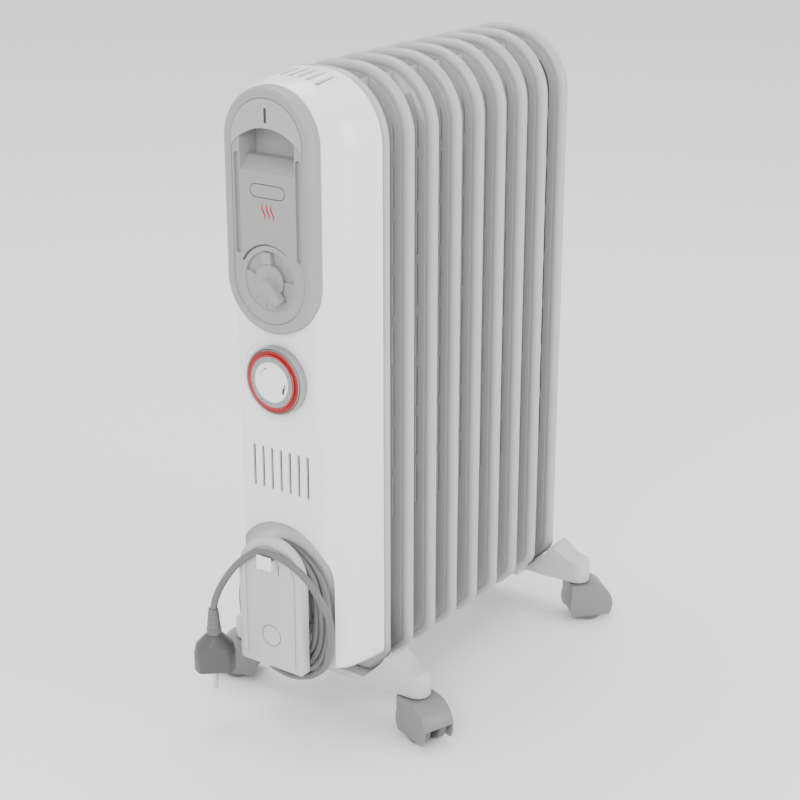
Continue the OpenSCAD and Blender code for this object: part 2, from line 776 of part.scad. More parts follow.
module timer_motor() {
  color("dimgray") place() difference() {
    box(-22, 22, -front_out + motor_y, -front_out + motor_y + 20, timer_z - 22, timer_z + 22);
    bar_y(5, -front_out, -front_out + motor_y + 1.5, 0, timer_z, 32);
  }
}

// ---------- cord store ----------
module cord_spool() {
  color("lightgray") place() slab(-plate_out + plate_t, -hollow_y) difference() {
    obround(spool_r, 118, coil_top_z);
    obround(spool_r - spool_t, 118, coil_top_z);
  }
}

module cord_plate() {
  color("lightgray") place() difference() {
    slab(-plate_out, -plate_out + plate_t) {
      translate([0, plate_top_z]) circle(plate_r, $fn = 96);
      translate([-plate_r, plate_low_z + 4]) square([2 * plate_r, plate_top_z - plate_low_z - 4]);
      translate([-plate_r + 4, plate_low_z]) square([2 * plate_r - 8, 8]);
      for (s = [-1, 1]) translate([s * (plate_r - 4), plate_low_z + 4]) circle(4, $fn = 32);
    }
    // Step round the middle panel, and a groove down each side.
    slab(-plate_out - 1, -plate_out + 1.2) difference() {
      translate([0, plate_top_z]) circle(plate_r - 8, $fn = 96);
      translate([0, plate_top_z]) circle(plate_r - 10, $fn = 96);
      translate([-60, plate_top_z - 80]) square([120, 80]);
    }
    for (s = [-1, 1]) slab(-plate_out - 1, -plate_out + 1.2)
      translate([s * (plate_r - 9), 0]) obround(1, plate_low_z + 8, plate_top_z);
    for (s = [-1, 1]) slab(-plate_out - 1, -plate_out + plate_t + 1)
      translate([s * (clip_w / 2 + 1.5), 0]) obround(0.9, 186, 196);
  }
}

module cord_clip() {
  color("white") place() {
    box(-clip_w / 2, clip_w / 2, -clip_out, -plate_out, 192, 203);
    box(-clip_w / 2, clip_w / 2, -clip_out, -clip_out + 2.4, 203, 207);
  }
}

// The grommet's axis points up and forwards, so the cord climbs onto the spool in an easy bend.
module at_gland() {
  translate([29.5, -hollow_y, 118]) rotate([atan(3 / 4), 0, 0]) children();
}

module cord_gland() {
  color("gray") place() at_gland() difference() {
    union() {
      translate([0, 0, -6]) cylinder(r = 6, h = 12, $fn = 32);
      translate([0, 0, 6]) cylinder(r1 = 6, r2 = 4.6, h = 12, $fn = 32);
    }
    translate([0, 0, -8]) cylinder(r = cord_r + 0.05, h = 30, $fn = 32);
  }
}

// Outline round two circles, one above the other. Its straight sides lie a hair inside both.
module pear(r_low, r_top) {
  a = asin((r_low - r_top) / (coil_top_z - coil_low_z));
  p = r_low - hair;
  q = r_top - hair;
  translate([0, coil_low_z]) circle(r_low, $fn = 96);
  translate([0, coil_top_z]) circle(r_top, $fn = 96);
  polygon([[p * cos(a), coil_low_z + p * sin(a)], [q * cos(a), coil_top_z + q * sin(a)],
    [-q * cos(a), coil_top_z + q * sin(a)], [-p * cos(a), coil_low_z + p * sin(a)]]);
}

module cord_coil() {
  color("gray") place() slab(coil_y0, coil_y1) difference() {
    pear(coil_low_r, coil_top_r);
    pear(coil_low_r - coil_low_band, coil_top_r - coil_top_band);
  }
}

// A smooth curve through a route's points: each stretch is split with a Catmull-Rom curve.
steps = 4;
function spline(p0, p1, p2, p3, t) = 0.5 * (2 * p1 + (p2 - p0) * t
  + (2 * p0 - 5 * p1 + 4 * p2 - p3) * t * t + (3 * p1 - p0 - 3 * p2 + p3) * t * t * t);
function at(route, i) = route[max(0, min(len(route) - 1, i))];
function smooth(route) = [for (i = [0 : len(route) - 2], j = [0 : steps - 1])
  spline(at(route, i - 1), at(route, i), at(route, i + 1), at(route, i + 2), j / steps),
  at(route, len(route) - 1)];
function unit(v) = v / norm(v);

// The cord along a route, with its end faces square to first and last.
module cord_tube(route, first, last) {
  sides = 12;
  line = smooth(route);
  n = len(line);
  rings = [for (i = [0 : n - 1])
    let (d = i == 0 ? first : i == n - 1 ? last : unit(line[i + 1] - line[i - 1]),
      u = unit(cross(d, [0, 1, 0.2])), v = cross(d, u))
      for (k = [0 : sides - 1]) line[i] + cord_r * (u * cos(360 * k / sides) + v * sin(360 * k / sides))];
  polyhedron(rings, concat(
    [[for (k = [0 : sides - 1]) k]],
    [for (i = [0 : n - 2], k = [0 : sides - 1])
      let (a = i * sides, b = a + sides, m = (k + 1) % sides) [a + k, b + k, b + m, a + m]],
    [[for (k = [0 : sides - 1]) (n - 1) * sides + sides - 1 - k]]), convexity = 6);
}

module cord_tail() {
  color("gray") place() cord_tube(tail_route, [0, -0.6, 0.8], unit([-0.5, 1, 11]));
}

module cord_lead() {
  color("gray") place() cord_tube(cord_route, unit([10, -6, 16]), [0, 0, -1]);
}

module at_plug() {
  translate(plug_at) rotate([0, 0, plug_turn]) children();
}

module strain_relief() {
  color("gray") place() at_plug() difference() {
    union() {
      translate([0, 0, 38]) cylinder(r1 = 7.5, r2 = 5, h = 27, $fn = 32);
      for (i = [0 : 3]) translate([0, 0, 41 + i * 5.5]) cylinder(r = 7.4 - i * 0.6, h = 3, $fn = 32);
    }
    translate([0, 0, 54]) cylinder(r = cord_r + 0.05, h = 20, $fn = 32);
  }
}

module plug_body() {
  color("dimgray") place() at_plug() intersection() {
    union() {
      cylinder(r = 21, h = 17);
      translate([0, 0, 17]) cylinder(r1 = 21, r2 = 19, h = 9);
      translate([0, 0, 26]) cylinder(r1 = 19, r2 = 8, h = 12);
    }
    translate([-30, -15.5, 0]) cube([60, 31, 60]);
  }
}

module plug_pins() {
  color("silver") place() at_plug() for (s = [-1, 1]) translate([0, s * 9.5, -19]) {
    cylinder(r = 2.4, h = 19, $fn = 24);
  }
}

// ---------- feet ----------
// Side view of a foot arm on the right; its upper edge keeps clear of the fin's slanted corner.
module arm_profile() {
  c = fin_half - fin_chamfer;
  polygon([[c - 8, arm_low_z + 2], [stem_x - 18, arm_low_z], [stem_x + arm_half, arm_low_z],
    [stem_x + arm_half, arm_low_z + 15], [stem_x + arm_half - 6, arm_low_z + 23],
    [stem_x - 5, arm_low_z + 25], [fin_half + 11, fin_bottom_z + fin_chamfer + 7],
    [fin_half + 6, fin_bottom_z + fin_chamfer + 7], [fin_half + 2, fin_bottom_z + fin_chamfer],
    [c + 1, fin_bottom_z - 1], [c - 8, fin_bottom_z - 1]]);
}

// Foot bracket with its arms at y = 0; the clamp plate reaches to one side.
module foot(dir) {
  c = fin_half - fin_chamfer;
  difference() {
    union() {
      both_sides() intersection() {
        slab(-30, 30) arm_profile();
        linear_extrude(120) {
          polygon([[c - 9, -18], [fin_half, -17], [stem_x - 12, -arm_half], [stem_x, -arm_half],
            [stem_x, arm_half], [stem_x - 12, arm_half], [fin_half, 17], [c - 9, 18]]);
          translate([stem_x, 0]) circle(arm_half);
        }
      }
      box(-c + 2, c - 2, dir > 0 ? -18 : -fin_pitch / 2 - 16, dir > 0 ? fin_pitch / 2 + 16 : 18,
        arm_low_z + 2, fin_bottom_z);
    }
    for (s = [-1, 1]) {
      translate([s * stem_x, 0, 0]) cylinder(r = stem_r + 0.02, h = arm_low_z + 15);
      translate([s * bolt_x, dir * fin_pitch / 2, 0]) cylinder(r = bolt_r + 0.2, h = 100, $fn = 32);
    }
  }
}

module front_foot() {
  color("lightgray") place() translate([0, front_arm_y, 0]) foot(1);
}

module rear_foot() {
  color("lightgray") place() translate([0, rear_arm_y, 0]) foot(-1);
}

bolt_spots = [fin_pitch / 2, rear_y - fin_pitch / 2];

module u_bolts() {
  color("silver") place() for (y = bolt_spots) {
    for (s = [-1, 1]) translate([s * bolt_x, y, arm_low_z - 6])
      cylinder(r = bolt_r, h = header_low_z - arm_low_z + 6, $fn = 32);
    translate([0, y, header_low_z]) rotate([90, 0, 0]) rotate_extrude(angle = 180)
      translate([bolt_x, 0]) circle(bolt_r, $fn = 32);
  }
}

module wing_nuts() {
  z = arm_low_z - 4;
  color("silver") place() for (y = bolt_spots, s = [-1, 1]) translate([s * bolt_x, y, z]) difference() {
    union() {
      cylinder(r = 5.5, h = 6, $fn = 32);
      for (a = [0, 180]) rotate([0, 0, a]) translate([4, -1, 1]) cube([7, 2, 5]);
    }
    translate([0, 0, -1]) cylinder(r = bolt_r + 0.02, h = 9, $fn = 32);
  }
}

// ---------- casters ----------
// Places: right or left, front or rear, and the swivel angle about Z at rest.
module at_stem(right, front) {
  swivel = front ? front_swivel : rear_swivel;
  translate([(right ? 1 : -1) * stem_x, front ? front_arm_y : rear_arm_y, 0])
    rotate([0, 0, right ? swivel : 180 - swivel]) children();
}

module caster_stems() {
  color("dimgray") place() for (right = [true, false], front = [true, false]) at_stem(right, front) {
    translate([0, 0, 14]) cylinder(r = stem_r, h = arm_low_z + 1, $fn = 32);
    translate([0, 0, hood_top_z + 0.3]) cylinder(r = stem_r + 3, h = 1.7, $fn = 32);
  }
}

// Hood in its own place: the stem at the origin and the wheels trailing along +X.
module hood() {
  difference() {
    intersection() {
      slab(-hood_half, hood_half) {
        translate([trail, axle_z]) circle(hood_r, $fn = 72);
        translate([-11.5, axle_z]) square([trail + 11.5, hood_top_z - axle_z]);
      }
      box(-60, 60, -30, 30, 7, hood_top_z);
    }
    // A well for each wheel, and a gap between them behind the web.
    for (s = [-1, 1]) slab(s > 0 ? web_half : -skirt_in, s > 0 ? skirt_in : -web_half)
      translate([trail, axle_z]) circle(wheel_r + 1.3, $fn = 72);
    intersection() {
      bar_y(wheel_r + 1.3, -web_half - 0.1, web_half + 0.1, trail, axle_z, 72);
      box(trail + 6, 80, -30, 30, 0, 60);
    }
    box(trail, 80, -skirt_in, skirt_in, 0, axle_z + 3);
    box(-40, trail - 18, -skirt_in, skirt_in, 0, axle_z - 6);
    translate([0, 0, 13]) cylinder(r = stem_r + run_gap, h = 60, $fn = 32);
    bar_y(axle_r + 0.02, -skirt_in - 1, skirt_in + 1, trail, axle_z, 32);
  }
}

module axle() {
  bar_y(axle_r, -skirt_in - 0.9, skirt_in + 0.9, trail, axle_z, 32);
}

module wheels() {
  for (s = [-1, 1]) translate([trail, s * (wheel_in + wheel_w / 2), axle_z]) rotate([90, 0, 0])
    rotate_extrude($fn = 72) polygon([[axle_r + run_gap, -wheel_w / 2], [wheel_r - 2, -wheel_w / 2],
      [wheel_r, -wheel_w / 2 + 2], [wheel_r, wheel_w / 2 - 2], [wheel_r - 2, wheel_w / 2],
      [axle_r + run_gap, wheel_w / 2]]);
}

module fin_1() { place() fin(0); }
module fin_2() { place() fin(1); }
module fin_3() { place() fin(2); }
module fin_4() { place() fin(3); }
module fin_5() { place() fin(4); }
module fin_6() { place() fin(5); }
module fin_7() { place() fin(6); }
module fin_8() { place() fin(7); }
module fin_9() { place() fin(8); }
module front_right_hood() { color("gray") place() at_stem(true, true) hood(); }
module front_left_hood() { color("gray") place() at_stem(false, true) hood(); }
module rear_right_hood() { color("gray") place() at_stem(true, false) hood(); }
module rear_left_hood() { color("gray") place() at_stem(false, false) hood(); }
module front_right_axle() { color("silver") place() at_stem(true, true) axle(); }
module front_left_axle() { color("silver") place() at_stem(false, true) axle(); }
module rear_right_axle() { color("silver") place() at_stem(true, false) axle(); }
module rear_left_axle() { color("silver") place() at_stem(false, false) axle(); }
module front_right_wheels() { color("dimgray") place() at_stem(true, true) wheels(); }
module front_left_wheels() { color("dimgray") place() at_stem(false, true) wheels(); }
module rear_right_wheels() { color("dimgray") place() at_stem(true, false) wheels(); }
module rear_left_wheels() { color("dimgray") place() at_stem(false, false) wheels(); }

fin_1();
fin_2();
fin_3();
fin_4();
fin_5();
fin_6();
fin_7();
fin_8();
fin_9();
heating_element();
element_flange();
filler_plug();
mounting_plate();
thermal_cutout();
terminal_block();
tilt_switch();
front_cover();
cover_screws();
control_bezel();
fascia();
handle_cap();
indicator_lens();
thermostat_ring();
thermostat_body();
selector_knob();
selector_switch();
timer_housing();
timer_dial();
timer_tappets();
timer_tappet();
timer_face();
timer_override();
timer_motor();
cord_spool();
cord_plate();
cord_clip();
cord_gland();
cord_tail();
cord_coil();
cord_lead();
strain_relief();
plug_body();
plug_pins();
front_foot();
rear_foot();
u_bolts();
wing_nuts();
caster_stems();
front_right_hood();
front_left_hood();
rear_right_hood();
rear_left_hood();
front_right_axle();
front_left_axle();
rear_right_axle();
rear_left_axle();
front_right_wheels();
front_left_wheels();
rear_right_wheels();
rear_left_wheels();
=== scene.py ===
# %% [markdown]
# # An oil filled radiator heater
# The heater is nine pressed steel fins full of oil, a white plastic cover over the controls at the
# front, a store for the wound mains cord and four swivel casters. The CAD model gives every piece
# its place and size. This script gives the pieces their finishes, rounds the edges that a mould
# would round, and models the cord as the one long curve that it is.
#
# The CAD model comes first, because everything else is placed from it.

# %% Load the frame
import json
import math

import bmesh
import bpy
import numpy as np
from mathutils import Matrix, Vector


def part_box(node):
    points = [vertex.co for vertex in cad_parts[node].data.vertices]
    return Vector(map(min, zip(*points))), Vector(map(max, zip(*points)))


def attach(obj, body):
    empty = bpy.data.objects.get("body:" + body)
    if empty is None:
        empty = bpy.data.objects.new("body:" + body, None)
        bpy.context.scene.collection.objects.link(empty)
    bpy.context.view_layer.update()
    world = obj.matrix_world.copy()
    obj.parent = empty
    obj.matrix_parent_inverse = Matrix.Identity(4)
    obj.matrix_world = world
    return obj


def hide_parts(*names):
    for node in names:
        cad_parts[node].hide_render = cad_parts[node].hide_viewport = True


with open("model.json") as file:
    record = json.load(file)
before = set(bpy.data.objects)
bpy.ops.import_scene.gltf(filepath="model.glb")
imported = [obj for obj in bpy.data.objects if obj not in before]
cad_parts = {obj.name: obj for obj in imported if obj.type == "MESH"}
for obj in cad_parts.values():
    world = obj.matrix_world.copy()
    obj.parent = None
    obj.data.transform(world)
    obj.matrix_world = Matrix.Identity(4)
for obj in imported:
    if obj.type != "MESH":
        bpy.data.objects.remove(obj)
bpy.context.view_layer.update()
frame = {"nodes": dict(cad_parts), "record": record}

nodes = frame["nodes"]
print("pieces in the CAD model:", len(nodes))

# %% [markdown]
# ## One way of giving places
# The CAD sizes are easiest to read in millimetres with the first fin's middle at depth 0. The
# whole model was moved along its length afterwards, so that its middle is at 0. The cover's front
# is 73 mm before the first fin, and its place in the frame gives that move back.

# %% Millimetres to the frame's metres
COVER_FRONT = 0.073
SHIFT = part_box("front_cover")[0].y + COVER_FRONT


def metres(points):
    """Millimetres from the first fin's middle to metres in the frame: divide, then move along Y."""
    return np.asarray(points, float) * 0.001 + np.array([0.0, SHIFT, 0.0])


print("the first fin's middle is at y =", round(SHIFT, 4))

# %% [markdown]
# ## The camera
# A product shot is made with a long lens from a little above, turned to show the front and one
# side. A long lens keeps the fins nearly parallel. The camera is made before the pieces.

# %% Camera
lens_data = bpy.data.cameras.new("studio_camera")
camera = bpy.data.objects.new("studio_camera", lens_data)
bpy.context.collection.objects.link(camera)
bpy.context.scene.camera = camera
camera.location = (1.0065, -1.4275, 0.9403)
camera.rotation_euler = (math.radians(90 - 20.19), 0.0, math.radians(35.25))
lens_data.sensor_width = 36.0
lens_data.lens = 80.3
lens_data.dof.use_dof = False
print("camera at", [round(v, 3) for v in camera.location])

# %% [markdown]
# ## A curve through points
# A cord has no corners, so its route is a smooth curve through a few points. A Catmull-Rom curve
# passes through every point and takes its direction at each from the neighbours on both sides.

# %% Smooth curve


def smooth(points, parts):
    """Catmull-Rom curve: each stretch between two points is a cubic whose end directions are half
    the step between the neighbours, cut into equal parts of the parameter."""
    p = np.asarray(points, float)
    q = np.vstack([2 * p[0] - p[1], p, 2 * p[-1] - p[-2]])
    a, b, c, d = (q[i : len(q) - 3 + i, None, :] for i in range(4))
    t = np.linspace(0, 1, parts, endpoint=False)[None, :, None]
    line = 0.5 * (2 * b + (c - a) * t + (2 * a - 5 * b + 4 * c - d) * t**2
                  + (3 * b - a - 3 * c + d) * t**3)
    return np.vstack([line.reshape(-1, 3), p[-1:]])


# %% [markdown]
# ## The cord
# The cord is one length of 7 mm round flex. It leaves a tilted grommet low in the hollow, climbs
# onto the spool, goes round it nearly four times and comes forward over the clip down to the plug. It
# could be four rings, but then it would not be a cord, so it is one curve.
#
# Below the spool the turns lie side by side, a diameter apart. Above it they lie two deep. The
# turns change places along the bottom, so that no two of them meet.

# %% Turns of the cord
CORD = 7.0  # thickness
PITCH = CORD + 0.1  # from strand to strand
FIRST_ANGLE, LAST_ANGLE, STEP = 22.0, 1408.0, 12.0  # degrees, four turns less what the ends leave
LOW_RADIUS, HIGH_RADIUS = 35.65, 30.0  # first turn below and above the spool
LOW_Z, RISE = 128.0, 44.0  # centre of the low half circle, and from it to the high one
STORE_Y = -73.0  # depth of the winding's middle
CROSS_START, CROSS_END = 200, 340  # degrees between which the turns change places
angle = np.radians(np.arange(FIRST_ANGLE, LAST_ANGLE + 0.1, STEP))
height = np.sin(angle)
upper = 0.5 + 0.5 * np.tanh(2.2 * height) / np.tanh(2.2)
stack = np.clip((height + 0.34) / 1.34, 0, 1)
stack = stack * stack * (3 - 2 * stack) * math.pi / 2
part = np.clip((np.degrees(angle) % 360 - CROSS_START) / (CROSS_END - CROSS_START), 0, 1)
index = np.floor(np.degrees(angle) / 360) + part * part * (3 - 2 * part)
index = np.where(np.degrees(angle) % 360 > CROSS_END, np.floor(np.degrees(angle) / 360) + 1, index)


def over_turns(values):
    """A value for each whole turn, read between turns in a straight line."""
    return sum(v * np.clip(1 - np.abs(index - i), 0, 1) for i, v in enumerate(values))


one, lift = np.cos(stack), np.sin(stack)
out = PITCH * over_turns([0 * one, one, 1 + one, 1 + 2 * one, 2 + 2 * one])
fore = 0.5 * PITCH * lift * over_turns([-1, 1, -1, 1, -1])
radius = LOW_RADIUS + (HIGH_RADIUS - LOW_RADIUS) * upper + out
turns = np.stack([radius * np.cos(angle), STORE_Y + fore,
                  LOW_Z + RISE * upper + radius * np.sin(angle)], axis=1)
print("turns of cord:", round((angle[-1] - angle[0]) / (2 * math.pi), 2), "points:", len(turns))

# %% Route of the whole cord
climb = [[29.5, -64, 126], [29.5, -70, 134], [30.8, -73.5, 143], [31.4, -75.4, 154]]
free_end = [[60, -80, 112], [68, -86, 134], [69, -92, 158], [62, -97, 178], [49, -98, 193],
            [32, -98, 203], [13, -98, 208], [-6, -98, 208], [-24, -98, 199], [-40, -99, 184],
            [-54, -100, 165], [-63, -101, 148], [-67, -102, 134], [-68, -102, 120]]
route = metres(smooth(np.vstack([climb, turns, free_end]), 5))

# %% [markdown]
# ## Making meshes from arrays
# Every new piece is a surface worked out as arrays. A grid of points becomes a mesh by joining
# each point to its neighbours. Edges sharper than a given angle stay crisp, and the rest are
# shaded smooth, as on a moulding.

# %% Mesh helpers


def volume_of(mesh):
    """Signed volume: a sixth of the sum, over the triangles, of each one's triple product."""
    mesh.calc_loop_triangles()
    co = np.zeros(len(mesh.vertices) * 3)
    mesh.vertices.foreach_get("co", co)
    tri = np.zeros(len(mesh.loop_triangles) * 3, int)
    mesh.loop_triangles.foreach_get("vertices", tri)
    a, b, c = np.moveaxis(co.reshape(-1, 3)[tri.reshape(-1, 3)], 1, 0)
    return float((a * np.cross(b, c)).sum() / 6)


def put(name, verts, faces, crease=32):
    """A mesh object from an array of points and a list of faces, smooth below the crease angle. A
    closed surface with a negative volume is inside out, so its faces are turned."""
    mesh = bpy.data.meshes.new(name)
    mesh.from_pydata(np.asarray(verts).tolist(), [], [list(f) for f in faces])
    mesh.update()
    if volume_of(mesh) < -1e-15:
        mesh.flip_normals()
    finish_shading(mesh, crease)
    piece = bpy.data.objects.new(name, mesh)
    bpy.context.collection.objects.link(piece)
    return piece


def finish_shading(mesh, crease):
    """Smooth everywhere, and sharp where two faces meet at more than the crease angle."""
    mesh.shade_smooth()
    mesh.set_sharp_from_angle(angle=math.radians(crease))


def quads(rows, cols, wrap_rows=False, wrap_cols=False, first=0):
    """Faces of a grid: point (i, j) joined to (i, j+1), (i+1, j+1) and (i+1, j)."""
    i, j = np.meshgrid(np.arange(rows if wrap_rows else rows - 1),
                       np.arange(cols if wrap_cols else cols - 1), indexing="ij")
    i2, j2 = (i + 1) % rows, (j + 1) % cols
    f = np.stack([i * cols + j, i * cols + j2, i2 * cols + j2, i2 * cols + j], axis=-1)
    return (f.reshape(-1, 4) + first).tolist()


def oblong(r, z0, z1, n=32):
    """Outline of an upright oblong, anticlockwise from the lower right: a half circle of radius r
    about the top centre, then one about the bottom centre."""
    a = np.linspace(0, math.pi, n)
    top = np.stack([r * np.cos(a), z1 + r * np.sin(a)], axis=1)
    low = np.stack([-r * np.cos(a), z0 - r * np.sin(a)], axis=1)
    return np.vstack([top, low])


def prism(name, outline, y0, y1):
    """A closed block: an outline in X and Z carried from depth y0 to y1, with a face at each end."""
    n = len(outline)
    ring = [np.insert(outline, 1, y, axis=1) for y in (y0, y1)]
    faces = quads(2, n, wrap_cols=True)
    faces += [list(range(n))[::-1], list(range(n, 2 * n))]
    return put(name, metres(np.vstack(ring)), faces)


def cut(piece, tool, how="DIFFERENCE"):
    """Cuts one mesh with another, or joins or crosses them, and removes the tool."""
    mod = piece.modifiers.new("cut", "BOOLEAN")
    mod.operation, mod.solver, mod.object = how, "EXACT", tool
    settle(piece)
    bpy.data.objects.remove(tool)


def settle(piece):
    """Makes the modifiers' result the piece's own mesh."""
    view = bpy.context.evaluated_depsgraph_get()
    view.update()
    made = bpy.data.meshes.new_from_object(piece.evaluated_get(view))
    piece.modifiers.clear()
    piece.data = made


def merged(node, name, width=0.0, steps=2, crease=30, smooth_crease=32):
    """A copy of a CAD node with its loose triangles merged, its edges rounded by a Bevel modifier
    where they are sharper than the crease angle, and smooth shading."""
    data = nodes[node].data.copy()
    work = bmesh.new()
    work.from_mesh(data)
    bmesh.ops.remove_doubles(work, verts=work.verts, dist=1e-6)
    bmesh.ops.dissolve_limit(work, angle_limit=math.radians(0.6), verts=work.verts, edges=work.edges)
    work.to_mesh(data)
    work.free()
    data.materials.clear()
    piece = bpy.data.objects.new(name, data)
    bpy.context.collection.objects.link(piece)
    if width:
        mod = piece.modifiers.new("rounded edges", "BEVEL")
        mod.width, mod.segments, mod.limit_method = width, steps, "ANGLE"
        mod.angle_limit, mod.harden_normals = math.radians(crease), False
        mod.use_clamp_overlap = True
        settle(piece)
    finish_shading(piece.data, smooth_crease)
    return piece


# %% [markdown]
# ### The cord as a tube
# The route becomes a tube: at each point a circle stands square to the direction of the line. The
# circles must not twist from one to the next, so each takes its sideways direction from the one
# before, with the part along the line removed.

# %% Tube


def tube(name, line, radius, sides=14):
    """Circles of one radius along a line of points, each square to the step between its
    neighbours, with a fan of faces over both ends."""
    ahead = np.gradient(line, axis=0)
    ahead /= np.linalg.norm(ahead, axis=1)[:, None]
    side = np.zeros_like(line)
    across = np.cross(ahead[0], [1.0, 0.0, 0.0])
    for i, d in enumerate(ahead):
        across = across - d * across.dot(d)
        across /= np.linalg.norm(across)
        side[i] = across
    other = np.cross(ahead, side)
    t = np.linspace(0, 2 * math.pi, sides, endpoint=False)[None, :, None]
    grid = line[:, None] + radius * (side[:, None] * np.cos(t) + other[:, None] * np.sin(t))
    n = len(line)
    faces = quads(n, sides, wrap_cols=True)
    faces += [list(range(sides))[::-1], [(n - 1) * sides + k for k in range(sides)]]
    return put(name, grid.reshape(-1, 3), faces, 50)


mains_cord = tube("mains_cord", route, CORD / 2000)
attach(mains_cord, "heater")
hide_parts("cord_tail", "cord_coil", "cord_lead")
print("cord faces:", len(mains_cord.data.polygons))

# %% [markdown]
# ## Shader maths that reads like maths
# A finish is a small network of nodes. Writing each Math node by hand hides the idea, so a socket
# is wrapped in a class whose operators add the nodes. Then `0.3 + speckle * 0.1` is just that.

# %% Wrapped sockets


class Wire:
    """The output of a node. Arithmetic on it adds a Math node and gives that node's output."""

    def __init__(self, finish, socket):
        self.finish, self.socket = finish, socket

    def _maths(self, operation, *values):
        return self.finish.add("ShaderNodeMath", dict(operation=operation),
                               {i: v for i, v in enumerate(values)})

    def __add__(self, other):
        return self._maths("ADD", self, other)

    def __mul__(self, other):
        return self._maths("MULTIPLY", self, other)

    __radd__, __rmul__ = __add__, __mul__


class Finish:
    """A material with one Principled shader, built up a node at a time."""

    def __init__(self, name, **constants):
        self.material = bpy.data.materials.new(name)
        self.material.use_nodes = True
        self.tree = self.material.node_tree
        self.shader = self.tree.nodes["Principled BSDF"]
        for socket, value in constants.items():
            self.shader.inputs[socket.replace("_", " ")].default_value = value
        self.place = self.add("ShaderNodeTexCoord", {}, {}, "Object")

    def add(self, kind, settings, sockets, output=0):
        """Adds any node: its settings first, then the values or links of its sockets."""
        node = self.tree.nodes.new(kind)
        stops = settings.pop("stops", None)
        for key, value in settings.items():
            setattr(node, key, value)
        if stops:
            for spot, (position, colour) in zip(node.color_ramp.elements, stops):
                spot.position, spot.color = position, colour
        for key, value in sockets.items():
            if isinstance(value, Wire):
                self.tree.links.new(value.socket, node.inputs[key])
            else:
                node.inputs[key].default_value = value
        return Wire(self, node.outputs[output])

    def feed(self, socket, wire):
        self.tree.links.new(wire.socket, self.shader.inputs[socket])

    def noise(self, scale, detail=3.0, place=None):
        return self.add("ShaderNodeTexNoise", {}, {"Vector": place or self.place, "Scale": scale,
                                                   "Detail": detail})

    def blend(self, factor, first, second):
        """A colour between two colours."""
        return self.add("ShaderNodeMix", dict(data_type="RGBA"),
                        {0: factor, 6: first, 7: second}, 2)

    def bump(self, height, strength, distance):
        self.feed("Normal", self.add("ShaderNodeBump", {}, {"Height": height, "Strength": strength,
                                                            "Distance": distance}))


def tone(level, warm=0.0):
    """A screen grey from 0 to 255 as linear red, green and blue, a little warmer or cooler."""
    c = (level / 255.0) ** 2.2
    return (c * (1 + warm), c, c * (1 - warm), 1.0)


# %% [markdown]
# ## Painted and moulded surfaces
# Nearly every piece is painted steel or moulded plastic. Paint has a faint orange peel and
# plastic has a fine grain from the mould. Both vary slightly in shade and gloss from place to
# place. One recipe with different numbers covers them, and each finish keeps its own scale.

# %% A recipe for paint and plastic


def moulded(name, level, rough, grain=900.0, depth=0.00002, spread=0.04, mottle=9.0, warm=0.0,
            strength=0.25, **constants):
    """Colour between two near shades by broad noise, roughness by finer noise, grain as bump."""
    f = Finish(name, **constants)
    broad, fine = f.noise(mottle), f.noise(grain, 2.0)
    f.feed("Base Color", f.blend(broad, tone(level * (1 - spread), warm), tone(level * (1 + spread), warm)))
    f.feed("Roughness", broad * 0.10 + fine * 0.06 + (rough - 0.08))
    f.bump(fine, strength, depth)
    return f.material


def metal(name, level, rough, streak=(60, 60, 900), warm=0.0):
    """Metal with fine streaks: noise stretched along the directions with small numbers."""
    f = Finish(name, Metallic=1.0)
    lines = f.noise(1.0, 3.0, f.add("ShaderNodeMapping", {}, {"Vector": f.place, "Scale": streak}))
    f.feed("Base Color", f.blend(lines, tone(level - 22, warm), tone(level + 8, warm)))
    f.feed("Roughness", lines * 0.2 + (rough - 0.1))
    f.bump(lines, 0.12, 0.00002)
    return f.material


finishes = {
    "fin_enamel": moulded("fin_enamel", 168, 0.36, grain=260, depth=0.00006, spread=0.012,
                          strength=0.3, Coat_Weight=0.25, Coat_Roughness=0.25),
    "cover_white": moulded("cover_white", 236, 0.20, grain=420, depth=0.00003, spread=0.008,
                           strength=0.15, Coat_Weight=0.4, Coat_Roughness=0.08),
    "panel_grey": moulded("panel_grey", 146, 0.38, spread=0.012),
    "cap_grey": moulded("cap_grey", 160, 0.30, spread=0.012, Coat_Weight=0.2),
    "store_grey": moulded("store_grey", 186, 0.42, spread=0.015),
    "caster_grey": moulded("caster_grey", 118, 0.40, spread=0.03),
    "wheel_grey": moulded("wheel_grey", 96, 0.48, spread=0.04),
    "cord_grey": moulded("cord_grey", 104, 0.44, grain=1500, spread=0.03, mottle=25),
    "plug_grey": moulded("plug_grey", 78, 0.42, grain=1500, spread=0.03, mottle=30),
    "lens_dark": moulded("lens_dark", 30, 0.12, spread=0.1, Coat_Weight=0.5),
    # inner_black is also put on the inside of the white cover below, as painted shade.
    "inner_black": moulded("inner_black", 52, 0.55, spread=0.08),
    "ceramic_cream": moulded("ceramic_cream", 226, 0.60, grain=500, depth=0.0001, spread=0.03,
                             warm=0.05),
    "steel_plated": metal("steel_plated", 205, 0.24, (90, 90, 90)),
    "steel_bare": metal("steel_bare", 170, 0.38),
}

red = Finish("dial_red", Coat_Weight=0.3, Coat_Roughness=0.1)
shade = red.noise(40)
red.feed("Base Color", red.blend(shade, (0.30, 0.0, 0.001, 1), (0.36, 0.0, 0.002, 1)))
red.feed("Roughness", shade * 0.12 + 0.24)
red.bump(red.noise(900), 0.2, 0.00002)
finishes["dial_red"] = red.material
print("finishes:", len(finishes))


def dress(piece, slot):
    """Gives a piece the finish of one of the record's material slots."""
    piece.data.materials.clear()
    piece.data.materials.append(finishes[slot])
    return piece


